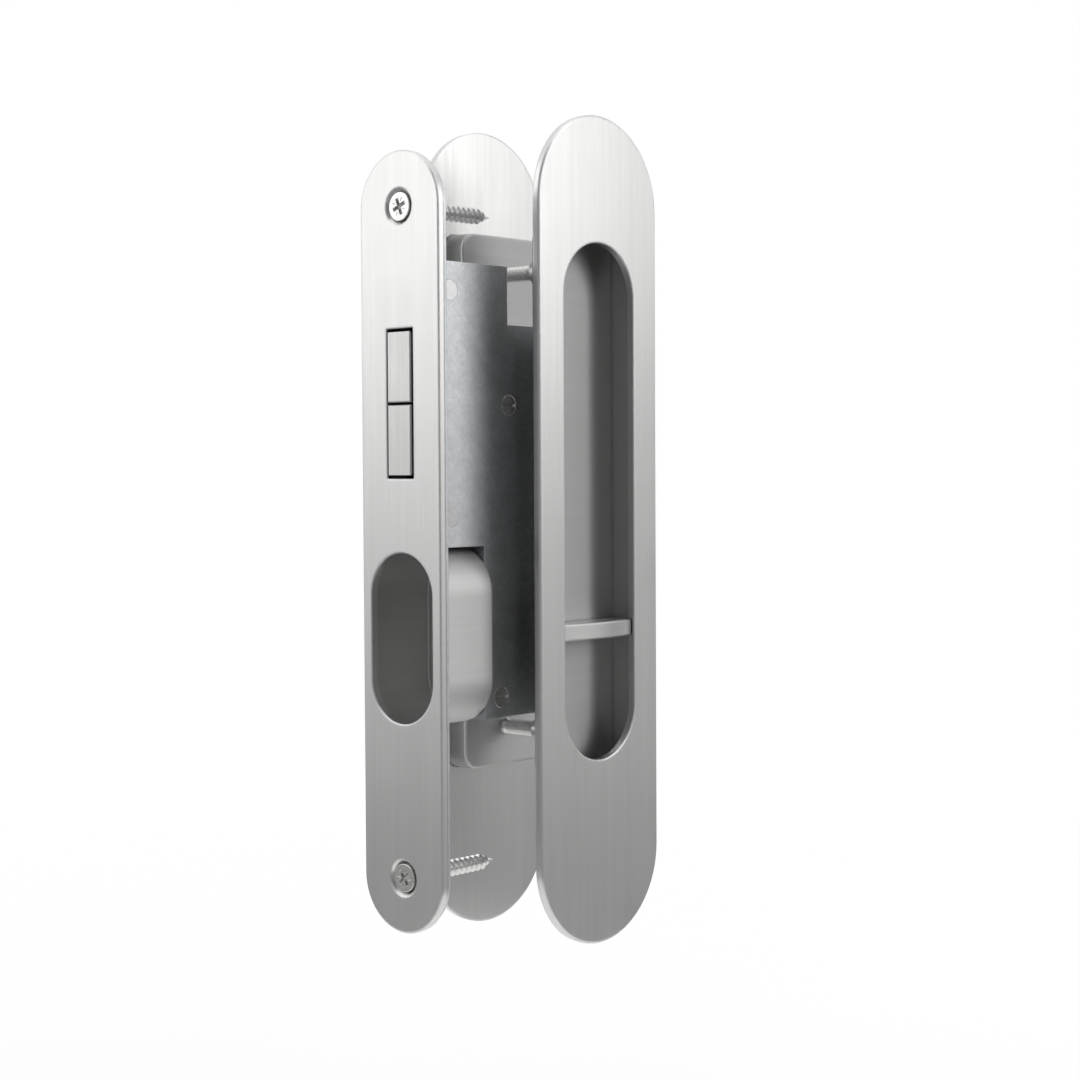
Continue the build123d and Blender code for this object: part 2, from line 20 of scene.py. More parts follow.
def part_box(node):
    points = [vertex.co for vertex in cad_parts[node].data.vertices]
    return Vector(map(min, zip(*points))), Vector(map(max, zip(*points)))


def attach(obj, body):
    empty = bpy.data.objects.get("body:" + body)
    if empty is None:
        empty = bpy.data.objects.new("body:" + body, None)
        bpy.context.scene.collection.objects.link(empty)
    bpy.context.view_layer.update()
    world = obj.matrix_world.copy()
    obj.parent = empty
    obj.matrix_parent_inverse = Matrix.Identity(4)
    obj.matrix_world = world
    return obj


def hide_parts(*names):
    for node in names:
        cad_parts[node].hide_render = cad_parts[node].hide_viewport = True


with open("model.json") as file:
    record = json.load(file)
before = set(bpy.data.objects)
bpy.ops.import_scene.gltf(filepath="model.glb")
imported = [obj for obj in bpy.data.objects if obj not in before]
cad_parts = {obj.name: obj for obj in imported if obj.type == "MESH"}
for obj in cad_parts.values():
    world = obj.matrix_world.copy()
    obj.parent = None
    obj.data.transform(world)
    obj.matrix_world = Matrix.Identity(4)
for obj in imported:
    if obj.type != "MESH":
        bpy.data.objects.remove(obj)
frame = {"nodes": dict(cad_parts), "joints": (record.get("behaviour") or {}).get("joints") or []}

LOG = logging.getLogger("door_lock")
MM = 0.001

Colour = tuple[float, float, float]
Paint = tuple[float, float, float, float]
Point = tuple[float, float, float]
Socket = bpy.types.NodeSocket
Feed = Socket | float | tuple[float, ...]
Feeds = dict[str | int, Feed]
Geometry = list[bmesh.types.BMVert | bmesh.types.BMEdge | bmesh.types.BMFace]

WHITE: Paint = (1.0, 1.0, 1.0, 1.0)

# Part of a noise's own range that each pattern uses in full
LINE_RANGE = (0.3, 0.7)
BAND_RANGE = (0.32, 0.68)
CLOUD_RANGE = (0.35, 0.65)
PATCH_RANGE = (0.3, 0.7)


class Grain(Enum):
    """Way the polishing lines run on a metal surface."""

    UPRIGHT = "upright"
    LEVEL = "level"
    TURNED = "turned"
    MILL = "mill"


class Recess(Enum):
    """Shape that the driver fits in a screw's head."""

    CROSS = "cross"
    SLOT = "slot"


@dataclass
class NodeBench:
    """Adds nodes to one shader tree and links them."""

    tree: bpy.types.NodeTree

    def put(self, kind: str, feeds: Feeds | None = None, **settings: object) -> bpy.types.Node:
        """Adds one node.

        Args:
            kind: Blender's type name of the node.
            feeds: For each input, a socket to link from or a value to set.
            **settings: Properties of the node itself, which are set first.

        Returns:
            The new node.
        """
        node = self.tree.nodes.new(kind)
        for name, value in settings.items():
            setattr(node, name, value)
        for key, value in (feeds or {}).items():
            if isinstance(value, Socket):
                self.tree.links.new(value, node.inputs[key])
            else:
                node.inputs[key].default_value = value
        return node

    def effect(self, group: bpy.types.NodeTree, feeds: Feeds) -> bpy.types.Node:
        """Places a shared effect and returns its node."""
        return self.put("ShaderNodeGroup", feeds, node_tree=group)

    def math(self, operation: str, a: Feed, b: Feed = 0.0) -> Socket:
        """Works out one number from two and returns its socket."""
        return self.put("ShaderNodeMath", {0: a, 1: b}, operation=operation).outputs[0]

    def vector(self, operation: str, a: Feed, b: Feed = (0.0, 0.0, 0.0)) -> Socket:
        """Works out a vector, or a number for the operations that give one, and returns its socket."""
        outputs = self.put("ShaderNodeVectorMath", {0: a, 1: b}, operation=operation).outputs
        return outputs["Value" if operation in ("LENGTH", "DISTANCE", "DOT_PRODUCT") else "Vector"]

    def spread(self, value: Feed, low: float, high: float, new_low: Feed, new_high: Feed) -> Socket:
        """Maps a value from one range to another, clamps it and returns its socket."""
        feeds = {"Value": value, "From Min": low, "From Max": high, "To Min": new_low, "To Max": new_high}
        return self.put("ShaderNodeMapRange", feeds).outputs["Result"]

    def noise(self, place: Feed, scale: Feed, detail: float = 2.0, **more: float) -> Socket:
        """Adds a noise pattern, with other inputs by name, and returns its value's socket."""
        feeds = {"Vector": place, "Scale": scale, "Detail": detail, **more}
        return self.put("ShaderNodeTexNoise", feeds).outputs["Fac"]

    def patches(self, place: Feed, scale: float, least: float) -> Socket:
        """Adds soft patches from a least value up to 1 and returns their socket."""
        return self.spread(self.noise(place, scale, detail=3.0), *PATCH_RANGE, least, 1.0)

    def mix(self, share: Feed, one: Feed, other: Feed, blend: str = "MIX") -> Socket:
        """Blends two colours by the second one's share and returns the colour's socket."""
        feeds = {0: share, 6: one, 7: other}
        return self.put("ShaderNodeMix", feeds, data_type="RGBA", blend_type=blend).outputs[2]

    def tone(self, colour: Feed, value: Socket, swing: float) -> Socket:
        """Darkens and lightens a colour.

        Args:
            colour: Colour to change.
            value: Pattern from 0, darkest, to 1, lightest.
            swing: How far the colour goes each way, as a share of itself.

        Returns:
            The changed colour's socket.
        """
        level = self.spread(value, 0.0, 1.0, 1.0 - swing, 1.0 + swing)
        grey = self.put("ShaderNodeCombineColor", {0: level, 1: level, 2: level}).outputs[0]
        return self.mix(1.0, colour, grey, "MULTIPLY")


@dataclass
class EffectGroup:
    """Shader node group in the making, with its two ends."""

    name: str
    takes: dict[str, str]
    gives: dict[str, str]

    def __post_init__(self) -> None:
        """Makes the group's tree, its sockets and its end nodes."""
        self.tree = bpy.data.node_groups.new(self.name, "ShaderNodeTree")
        for label, kind in self.takes.items():
            self.tree.interface.new_socket(label, in_out="INPUT", socket_type=kind)
        for label, kind in self.gives.items():
            self.tree.interface.new_socket(label, in_out="OUTPUT", socket_type=kind)
        self.bench = NodeBench(self.tree)
        self.start = self.bench.put("NodeGroupInput").outputs
        self.end = self.bench.put("NodeGroupOutput").inputs

    def give(self, label: str, socket: Socket) -> None:
        """Links a result to one of the group's outputs."""
        self.tree.links.new(socket, self.end[label])


FLOAT, VECTOR = "NodeSocketFloat", "NodeSocketVector"

# How alike the softened and the plain normal are where an edge's wear starts and where it is full
WEAR_RANGE = (0.995, 0.86)
WEAR_SAMPLES = 4
WEAR_PATCH_SCALE = 420.0
WEAR_PATCH_LEAST = 0.35

# Share of open air round a point where the painted shade in a corner is full and where it ends
CREVICE_SHADE_RANGE = (0.25, 0.75)
CREVICE_SHADE_SAMPLES = 8
CREVICE_SHADE_PATCH_SCALE = 260.0
CREVICE_SHADE_PATCH_LEAST = 0.7


def draw_lines(
    group: EffectGroup, place: Socket, band_share: float, detail: float, roughness: float
) -> None:
    """Gives a group its fine lines and the broader bands that they gather in.

    Args:
        group: Group that takes Density and gives Lines and Bands.
        place: Coordinates, drawn out along the lines.
        band_share: Density of the bands as a share of the lines' density.
        detail: How many sets of finer lines lie between the lines.
        roughness: How strong the finer lines are.
    """
    bench, density = group.bench, group.start["Density"]
    lines = bench.noise(place, density, detail, Roughness=roughness)
    bands = bench.noise(place, bench.math("MULTIPLY", density, band_share))
    group.give("Lines", bench.spread(lines, *LINE_RANGE, 0.0, 1.0))
    group.give("Bands", bench.spread(bands, *BAND_RANGE, 0.0, 1.0))


@lru_cache(maxsize=None)
def brushed_lines() -> bpy.types.NodeTree:
    """Builds the straight brushing.

    Returns:
        Group from Coordinates, Stretch and Density to Lines and Bands.
    """
    takes = {"Coordinates": VECTOR, "Stretch": VECTOR, "Density": FLOAT}
    group = EffectGroup("brushed_lines", takes, {"Lines": FLOAT, "Bands": FLOAT})
    drawn = group.bench.vector("MULTIPLY", group.start["Coordinates"], group.start["Stretch"])
    draw_lines(group, drawn, band_share=0.16, detail=3.0, roughness=0.7)
    return group.tree


@lru_cache(maxsize=None)
def turned_lines() -> bpy.types.NodeTree:
    """Builds the rings a lathe leaves round the Z axis of its coordinates.

    Returns:
        Group from Coordinates and Density to Lines and Bands.
    """
    takes = {"Coordinates": VECTOR, "Density": FLOAT}
    group = EffectGroup("turned_lines", takes, {"Lines": FLOAT, "Bands": FLOAT})
    bench = group.bench
    flat = bench.vector("MULTIPLY", group.start["Coordinates"], (1.0, 1.0, 0.0))
    rings = bench.put("ShaderNodeCombineXYZ", {"X": bench.vector("LENGTH", flat)}).outputs[0]
    draw_lines(group, rings, band_share=0.2, detail=2.0, roughness=0.5)
    return group.tree


@lru_cache(maxsize=None)
def edge_wear() -> bpy.types.NodeTree:
    """Builds the softened, rubbed look of edges.

    Returns:
        Group from Coordinates and Radius to Mask and Normal.
    """
    takes = {"Coordinates": VECTOR, "Radius": FLOAT}
    group = EffectGroup("edge_wear", takes, {"Mask": FLOAT, "Normal": VECTOR})
    bench = group.bench
    radius = {"Radius": group.start["Radius"]}
    soft = bench.put("ShaderNodeBevel", radius, samples=WEAR_SAMPLES).outputs[0]
    own = bench.put("ShaderNodeNewGeometry").outputs["Normal"]
    edge = bench.spread(bench.vector("DOT_PRODUCT", soft, own), *WEAR_RANGE, 0.0, 1.0)
    patchy = bench.patches(group.start["Coordinates"], WEAR_PATCH_SCALE, WEAR_PATCH_LEAST)
    group.give("Mask", bench.math("MULTIPLY", edge, patchy))
    group.give("Normal", soft)
    return group.tree


@lru_cache(maxsize=None)
def handling_marks() -> bpy.types.NodeTree:
    """Builds the faint clouding that hands and cleaning leave.

    Returns:
        Group from Coordinates and Scale to Smudge.
    """
    group = EffectGroup("handling_marks", {"Coordinates": VECTOR, "Scale": FLOAT}, {"Smudge": FLOAT})
    bench = group.bench
    cloud = bench.noise(group.start["Coordinates"], group.start["Scale"], detail=4.0, Distortion=0.6)
    group.give("Smudge", bench.spread(cloud, *CLOUD_RANGE, 0.0, 1.0))
    return group.tree


@lru_cache(maxsize=None)
def plating_flakes() -> bpy.types.NodeTree:
    """Builds the patchwork of crystals in a plated or cast skin.

    Returns:
        Group from Coordinates and Scale to Flake.
    """
    group = EffectGroup("plating_flakes", {"Coordinates": VECTOR, "Scale": FLOAT}, {"Flake": FLOAT})
    bench = group.bench
    cells = {"Vector": group.start["Coordinates"], "Scale": group.start["Scale"], "Randomness": 1.0}
    shade = bench.put("ShaderNodeTexVoronoi", cells, feature="F1").outputs["Color"]
    group.give("Flake", bench.put("ShaderNodeSeparateColor", {0: shade}).outputs[0])
    return group.tree


@lru_cache(maxsize=None)
def painted_crevice_shade() -> bpy.types.NodeTree:
    """Builds the painted shade that darkens corners and gaps where little open air reaches, broken into
    patches.

    Returns:
        Group from Coordinates and Reach to Mask.
    """
    group = EffectGroup("painted_crevice_shade", {"Coordinates": VECTOR, "Reach": FLOAT}, {"Mask": FLOAT})
    bench = group.bench
    # Painted shade: the more a point is shut in, the darker its colour is painted
    reach = {"Distance": group.start["Reach"]}
    open_air = bench.put("ShaderNodeAmbientOcclusion", reach, samples=CREVICE_SHADE_SAMPLES).outputs["AO"]
    shut_in = bench.spread(open_air, *CREVICE_SHADE_RANGE, 1.0, 0.0)
    patchy = bench.patches(group.start["Coordinates"], CREVICE_SHADE_PATCH_SCALE, CREVICE_SHADE_PATCH_LEAST)
    group.give("Mask", bench.math("MULTIPLY", shut_in, patchy))
    return group.tree


# Scale of the coordinates for each grain that isn't turned, small along its lines to draw them out
DRAWN_OUT = 0.014
GRAIN_STRETCH = {
    Grain.UPRIGHT: (1.0, 1.0, DRAWN_OUT),
    Grain.LEVEL: (DRAWN_OUT, 1.0, 1.0),
    Grain.MILL: (1.0, 1.0, 1.0),
}

# Upright, but square to no face, because a smear along a face's normal would have no direction
NEARLY_UP = (0.03, 0.05, 1.0)

SMUDGE_SCALE = 38.0
RELIEF_DEPTH = 0.02 * MM
RUBBED_SHARE = 0.45
# Tone, as a share of the colour, that the painted shade in corners darkens it to
CREVICE_SHADE_TONE = 0.12


def blank_material(name: str) -> tuple[bpy.types.Material, NodeBench]:
    """Makes a material with nothing in it yet.

    Args:
        name: Name of the material.

    Returns:
        The material and the bench of its tree.
    """
    made = bpy.data.materials.new(name)
    made.use_nodes = True
    made.node_tree.nodes.clear()
    return made, NodeBench(made.node_tree)


def paint(colour: Colour, share: float = 1.0) -> Paint:
    """Gives an opaque colour, darkened or lightened by a share."""
    return tuple(min(1.0, level * share) for level in colour) + (1.0,)


@dataclass(frozen=True)
class MetalFinish:
    """Metal surface: its colour and polish, the lines of its brushing, and its worn edges."""

    name: str
    colour: Colour
    roughness: float
    grain: Grain = Grain.UPRIGHT
    density: float = 2600.0
    contrast: float = 0.10
    banding: float = 0.05
    polish_spread: float = 0.07
    relief: float = 0.06
    edge_radius: float = 0.18 * MM
    edge_light: float = 0.35
    anisotropy: float = 0.4
    # Painted shade in corners and gaps: how strong it is and how far it looks for them
    crevice_shade: float = 0.0
    crevice_shade_reach: float = 1.0 * MM
    flake: float = 0.0
    flake_scale: float = 900.0
    turn_centre: Point = (0.0, 0.0, 0.0)

    def material(self) -> bpy.types.Material:
        """Builds the finish's material.

        Returns:
            The material, or the one already made under this name.
        """
        known = bpy.data.materials.get(f"{self.name}_finish")
        if known:
            return known
        made, bench = blank_material(f"{self.name}_finish")
        place = bench.put("ShaderNodeTexCoord").outputs["Object"]
        lines, bands = self._lines(bench, place)
        edges = bench.effect(edge_wear(), {"Coordinates": place, "Radius": self.edge_radius}).outputs
        relief: Feeds = {
            "Strength": self.relief,
            "Distance": RELIEF_DEPTH,
            "Height": lines,
            "Normal": edges["Normal"],
        }
        feeds: Feeds = {
            "Base Color": self._colour(bench, place, lines, bands, edges["Mask"]),
            "Metallic": 1.0,
            "Roughness": self._polish(bench, place, lines),
            "Normal": bench.put("ShaderNodeBump", relief).outputs["Normal"],
        }
        if self.grain is not Grain.MILL:
            feeds["Anisotropic"] = self.anisotropy
            feeds["Tangent"] = self._tangent(bench, place)
        skin = bench.put("ShaderNodeBsdfPrincipled", feeds)
        bench.put("ShaderNodeOutputMaterial", {"Surface": skin.outputs[0]})
        return made

    def _lines(self, bench: NodeBench, place: Socket) -> tuple[Socket, Socket]:
        """Places the lines of this finish's grain.

        Args:
            bench: The material's bench.
            place: Object coordinates.

        Returns:
            Sockets of the fine lines and of the broad bands.
        """
        if self.grain is Grain.TURNED:
            axis = {"Vector": place, "Location": self.turn_centre, "Rotation": (-math.pi / 2, 0.0, 0.0)}
            centred = bench.put("ShaderNodeMapping", axis, vector_type="TEXTURE").outputs[0]
            node = bench.effect(turned_lines(), {"Coordinates": centred, "Density": self.density})
        else:
            stretch = GRAIN_STRETCH[self.grain]
            feeds = {"Coordinates": place, "Stretch": stretch, "Density": self.density}
            node = bench.effect(brushed_lines(), feeds)
        return node.outputs["Lines"], node.outputs["Bands"]

    def _polish(self, bench: NodeBench, place: Socket, lines: Socket) -> Socket:
        """Builds the roughness with its lines and hand marks.

        Args:
            bench: The material's bench.
            place: Object coordinates.
            lines: Fine lines of the grain.

        Returns:
            The roughness's socket.
        """
        swing = self.polish_spread
        marks = bench.effect(handling_marks(), {"Coordinates": place, "Scale": SMUDGE_SCALE})
        brushed = bench.spread(lines, 0.0, 1.0, self.roughness + swing, self.roughness - swing)
        handled = bench.spread(marks.outputs["Smudge"], 0.0, 1.0, -swing / 2, swing / 2)
        return bench.math("ADD", brushed, handled)

    def _colour(
        self, bench: NodeBench, place: Socket, lines: Socket, bands: Socket, worn: Socket
    ) -> Socket:
        """Builds the colour with its lines, bands, flakes, rubbed edges and painted shade in corners.

        Args:
            bench: The material's bench.
            place: Object coordinates.
            lines: Fine lines of the grain.
            bands: Broad bands of the grain.
            worn: Mask of the rubbed edges.

        Returns:
            The colour's socket.
        """
        deep, pale = paint(self.colour, 1.0 - self.contrast), paint(self.colour, 1.0 + self.contrast)
        colour = bench.tone(bench.mix(lines, deep, pale), bands, self.banding)
        if self.flake > 0.0:
            crystals = bench.effect(plating_flakes(), {"Coordinates": place, "Scale": self.flake_scale})
            colour = bench.tone(colour, crystals.outputs["Flake"], self.flake)
        bright = paint(tuple(level + (1.0 - level) * RUBBED_SHARE for level in self.colour))
        colour = bench.mix(bench.math("MULTIPLY", worn, self.edge_light), colour, bright)
        # Painted shade: corners and gaps are darkened towards a deep tone of the colour
        if self.crevice_shade > 0.0:
            corner_shade = bench.effect(painted_crevice_shade(), {"Coordinates": place, "Reach": self.crevice_shade_reach})
            share = bench.math("MULTIPLY", corner_shade.outputs["Mask"], self.crevice_shade)
            colour = bench.mix(share, colour, paint(self.colour, CREVICE_SHADE_TONE))
        return colour

    def _tangent(self, bench: NodeBench, place: Socket) -> Socket:
        """Places the direction in which the grain smears reflections.

        Args:
            bench: The material's bench.
            place: Object coordinates.

        Returns:
            The direction's socket.
        """
        way: Feed = NEARLY_UP
        if self.grain is Grain.TURNED:
            way = bench.vector("SUBTRACT", place, self.turn_centre)
        as_placed = {"vector_type": "VECTOR", "convert_from": "OBJECT", "convert_to": "WORLD"}
        way = bench.put("ShaderNodeVectorTransform", {0: way}, **as_placed).outputs[0]
        if self.grain is not Grain.UPRIGHT:
            return way
        out = bench.put("ShaderNodeNewGeometry").outputs["Normal"]
        return bench.vector("CROSS_PRODUCT", out, way)


@dataclass(frozen=True)
class NylonFinish:
    """Moulded natural nylon, clouded and finely pebbled."""

    name: str = "nylon"
    colour: Colour = (0.83, 0.82, 0.77)
    roughness: float = 0.46
    roughness_rise: float = 0.1
    cloud_scale: float = 260.0
    cloud_shade: float = 0.93
    pebble_scale: float = 9000.0
    pebble_relief: float = 0.12

    def material(self) -> bpy.types.Material:
        """Builds the nylon's material.

        Returns:
            The material.
        """
        made, bench = blank_material(f"{self.name}_finish")
        place = bench.put("ShaderNodeTexCoord").outputs["Object"]
        marks = bench.effect(handling_marks(), {"Coordinates": place, "Scale": self.cloud_scale})
        cloud = marks.outputs["Smudge"]
        dullest = self.roughness + self.roughness_rise
        relief: Feeds = {
            "Strength": self.pebble_relief,
            "Distance": RELIEF_DEPTH,
            "Height": bench.noise(place, self.pebble_scale),
        }
        feeds: Feeds = {
            "Base Color": bench.mix(cloud, paint(self.colour), paint(self.colour, self.cloud_shade)),
            "Roughness": bench.spread(cloud, 0.0, 1.0, self.roughness, dullest),
            "Normal": bench.put("ShaderNodeBump", relief).outputs["Normal"],
        }
        skin = bench.put("ShaderNodeBsdfPrincipled", feeds)
        bench.put("ShaderNodeOutputMaterial", {"Surface": skin.outputs[0]})
        return made


Finish = MetalFinish | NylonFinish


def joint_place(name: str) -> Point:
    """Finds the point that the record gives on a joint's axis."""
    x, y, z = next(joint["pos_m"] for joint in frame["joints"] if joint["name"] == name)
    return float(x), float(y), float(z)


PLATE = MetalFinish(
    "brushed_nickel",
    (0.66, 0.657, 0.652),
    0.32,
    density=3400.0,
    contrast=0.035,
    banding=0.02,
    polish_spread=0.03,
    relief=0.03,
    edge_radius=0.7 * MM,
    anisotropy=0.15,
    # Painted shade in corners and gaps
    crevice_shade=0.8,
)
CUP = MetalFinish(
    "satin_cup",
    (0.55, 0.55, 0.547),
    0.46,
    grain=Grain.LEVEL,
    contrast=0.025,
    banding=0.012,
    polish_spread=0.02,
    relief=0.03,
    anisotropy=0.88,
    # Painted shade in corners and gaps, reaching further into the recess
    crevice_shade=0.6,
    crevice_shade_reach=1.6 * MM,
)
# Painted light: a paler copy of the cup's satin, so that the finger cup's shaded hollow renders lighter
LIT_FINGER_CUP = replace(
    CUP, name="finger_cup_lit_satin", colour=(0.60, 0.60, 0.596), roughness=0.50, anisotropy=0.6
)
SNIB = MetalFinish(
    "snib_nickel",
    (0.58, 0.578, 0.574),
    0.36,
    grain=Grain.LEVEL,
    density=3200.0,
    contrast=0.025,
    banding=0.02,
    polish_spread=0.02,
    relief=0.02,
    edge_light=0.0,
    anisotropy=0.0,
)
RELEASE = MetalFinish(
    "release_nickel",
    (0.66, 0.655, 0.645),
    0.32,
    grain=Grain.TURNED,
    turn_centre=joint_place("snib_turn"),
)
HOOK = MetalFinish(
    "hook_steel", (0.60, 0.60, 0.592), 0.36, density=3600.0, contrast=0.06, edge_light=0.5
)
SCREW = MetalFinish(
    "bright_screw", (0.70, 0.695, 0.685), 0.24, grain=Grain.MILL, density=5200.0, contrast=0.08
)
ZINC = MetalFinish(
    "zinc_plate",
    (0.56, 0.575, 0.59),
    0.42,
    grain=Grain.MILL,
    density=1500.0,
    contrast=0.07,
    flake=0.05,
)
PIN = MetalFinish(
    "pin_steel", (0.53, 0.53, 0.535), 0.30, grain=Grain.MILL, density=4200.0, edge_light=0.5
)
SPRING = MetalFinish(
    "spring_steel", (0.27, 0.28, 0.31), 0.33, grain=Grain.LEVEL, density=3000.0, edge_light=0.6
)
BRASS = MetalFinish(
    "hub_brass",
    (0.72, 0.53, 0.26),
    0.38,
    grain=Grain.MILL,
    density=2400.0,
    flake=0.06,
    flake_scale=2200.0,
)
NYLON = NylonFinish()

SHARP_DEG = 32.0


def dress(finish: Finish, *nodes: str) -> None:
    """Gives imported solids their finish.

    Args:
        finish: Finish to put on them.
        *nodes: Names of the solids' nodes.
    """
    for node in nodes:
        frame["nodes"][node].material_slots[0].material = finish.material()
        LOG.info("dressed %s in %s", node, finish.name)


def make_piece(name: str, bm: bmesh.types.BMesh, finish: Finish) -> bpy.types.Object:
    """Turns a finished bmesh into an object at the origin.

    Args:
        name: Name of the piece.
        bm: Its geometry, which is freed.
        finish: Finish to put on it.

    Returns:
        The new object.
    """
    mesh = bpy.data.meshes.new(name)
    bm.to_mesh(mesh)
    bm.free()
    mesh.materials.append(finish.material())
    mesh.shade_smooth()
    mesh.set_sharp_from_angle(angle=math.radians(SHARP_DEG))
    piece = bpy.data.objects.new(name, mesh)
    bpy.context.scene.collection.objects.link(piece)
    return piece


def verts_in(geometry: Geometry) -> list[bmesh.types.BMVert]:
    """Picks the vertices out of a mixed list."""
    return [item for item in geometry if isinstance(item, bmesh.types.BMVert)]


@dataclass
class Screw:
    """Countersunk screw that stands on its axis, head up, with its flat top at the origin.

    A screw with a point is a wood screw, and one without is a machine screw. A share is a part of the size
    that it goes with: the ridge's of the pitch, the floor's of the recess, the tip's of the point and the
    tick marks' of the arm.
    """

    head_r: float
    land: float
    core_r: float
    crest_r: float
    length: float
    point: float
    pitch: float
    ridge_share: float
    thread_start: float
    recess: Recess
    recess_depth: float
    recess_floor_share: float
    arm_width: float
    arm_reach: float
    segments: int = 48
    rim_round: float = 0.12 * MM
    end_bevel: float = 0.3 * MM
    tip_share: float = 0.02
    tick_depth: float = 0.16 * MM
    tick_half_share: float = 0.1
    tick_reach_shares: tuple[float, float] = (0.62, 1.05)
    thread_steps: int = 28
    thread_bury: float = 0.06 * MM
    lead_in_turns: float = 0.6
    run_out_turns: float = 0.7
    fade_turns: float = 0.4

    def build(self) -> bmesh.types.BMesh:
        """Models the screw.

        Returns:
            The screw's bmesh.
        """
        bm = bmesh.new()
        flat_r = self.head_r - self.rim_round
        bmesh.ops.create_circle(bm, cap_ends=True, segments=self.segments, radius=flat_r)
        self._sink_recess(bm)
        self._draw_shank(bm, flat_r)
        self._wind_thread(bm)
        self._taper_point(bm)
        bmesh.ops.recalc_face_normals(bm, faces=bm.faces[:])
        return bm

    def rises(self, low: Vector, high: Vector) -> tuple[float, float]:
        """Gives the heights of an upper and a lower screw whose heads reach a box's ends."""
        return high.z - self.head_r, low.z + self.head_r

    @staticmethod
    def _score(bm: bmesh.types.BMesh, angles: tuple[float, ...], offsets: list[float]) -> None:
        """Cuts the flat head along straight lines.

        Args:
            bm: The screw's bmesh, still only its flat head.
            angles: Directions of the lines' normals, in degrees.
            offsets: Distances of the lines from the axis, on both sides of it.
        """
        for angle in map(math.radians, angles):
            normal = Vector((math.cos(angle), math.sin(angle), 0.0))
            for offset in [-reach for reach in reversed(offsets)] + offsets:
                geometry = bm.verts[:] + bm.edges[:] + bm.faces[:]
                bmesh.ops.bisect_plane(
                    bm, geom=geometry, dist=1e-7, plane_co=normal * offset, plane_no=normal
                )

    def _in_arm(self, spot: Vector) -> bool:
        """Tells whether a point of the flat head lies in the driver recess.

        Args:
            spot: The point.

        Returns:
            True where the recess is.
        """
        half, reach = self.arm_width / 2, self.arm_reach
        x, y = abs(spot.x), abs(spot.y)
        return (y < half and x < reach) or (self.recess is Recess.CROSS and x < half and y < reach)

    def _in_tick(self, spot: Vector) -> bool:
        """Tells whether a point of the flat head lies in a fine mark between the arms of a cross.

        Args:
            spot: The point.

        Returns:
            True where a mark is.
        """
        near, far = sorted((abs(spot.x + spot.y) / math.sqrt(2), abs(spot.x - spot.y) / math.sqrt(2)))
        half, start, end = self._tick_lines()
        return self.recess is Recess.CROSS and near < half and start < far < end

    def _tick_lines(self) -> list[float]:
        """Lists a fine mark's half width and the distances at which it starts and ends."""
        reaches = [share * self.arm_reach for share in self.tick_reach_shares]
        return [self.tick_half_share * self.arm_width] + reaches

    @staticmethod
    def _press(bm: bmesh.types.BMesh, faces: list[bmesh.types.BMFace], depth: float, shrink: float) -> None:
        """Pushes faces of the flat head down to make a recess.

        Args:
            bm: The screw's bmesh.
            faces: Faces to push down.
            depth: How far they go.
            shrink: Scale of the recess's floor about the axis.
        """
        pushed = verts_in(bmesh.ops.extrude_face_region(bm, geom=faces)["geom"])
        bmesh.ops.translate(bm, vec=(0.0, 0.0, -depth), verts=pushed)
        bmesh.ops.scale(bm, vec=(shrink, shrink, 1.0), verts=pushed)
        left = [face for face in faces if face.is_valid]
        bmesh.ops.delete(bm, geom=left, context="FACES_ONLY")

    def _sink_recess(self, bm: bmesh.types.BMesh) -> None:
        """Cuts the driver recess, and the fine marks of a cross recess, into the flat head.

        Args:
            bm: The screw's bmesh, still only its flat head.
        """
        self._score(bm, (0.0, 90.0), [self.arm_width / 2, self.arm_reach])
        if self.recess is Recess.CROSS:
            self._score(bm, (45.0, 135.0), self._tick_lines())
        spots = {face: face.calc_center_median() for face in bm.faces}
        arms = [face for face, spot in spots.items() if self._in_arm(spot)]
        ticks = [face for face, spot in spots.items() if face not in arms and self._in_tick(spot)]
        self._press(bm, arms, self.recess_depth, self.recess_floor_share)
        if ticks:
            self._press(bm, ticks, self.tick_depth, 1.0)

    def _profile(self) -> list[tuple[float, float]]:
        """Lists the rings of the screw below its flat top.

        Returns:
            Radius and depth of each ring.
        """
        cone_end = self.land + self.head_r - self.crest_r
        core_start = self.thread_start + self.crest_r - self.core_r
        rings = [(self.head_r, self.rim_round), (self.head_r, self.land), (self.crest_r, cone_end)]
        rings += [(self.crest_r, self.thread_start), (self.core_r, core_start)]
        if self.point > 0.0:
            shares = (1.0, 0.75, 0.5, 0.25, self.tip_share)
            return rings + [(self.core_r, self.length - self.point * share) for share in shares]
        end_r = self.core_r - self.end_bevel
        return rings + [(self.core_r, self.length - self.end_bevel), (end_r, self.length)]

    def _draw_shank(self, bm: bmesh.types.BMesh, flat_r: float) -> None:
        """Draws the rim of the flat head down into land, cone, shank and end.

        Args:
            bm: The screw's bmesh.
            flat_r: Radius of the flat top.
        """
        rim = [edge for edge in bm.edges if edge.is_boundary]
        r, depth = flat_r, 0.0
        for next_r, next_depth in self._profile():
            drawn = bmesh.ops.extrude_edge_only(bm, edges=rim)["geom"]
            rim = [item for item in drawn if isinstance(item, bmesh.types.BMEdge)]
            bmesh.ops.scale(bm, vec=(next_r / r, next_r / r, 1.0), verts=verts_in(drawn))
            bmesh.ops.translate(bm, vec=(0.0, 0.0, depth - next_depth), verts=verts_in(drawn))
            r, depth = next_r, next_depth
        bmesh.ops.holes_fill(bm, edges=rim, sides=0)

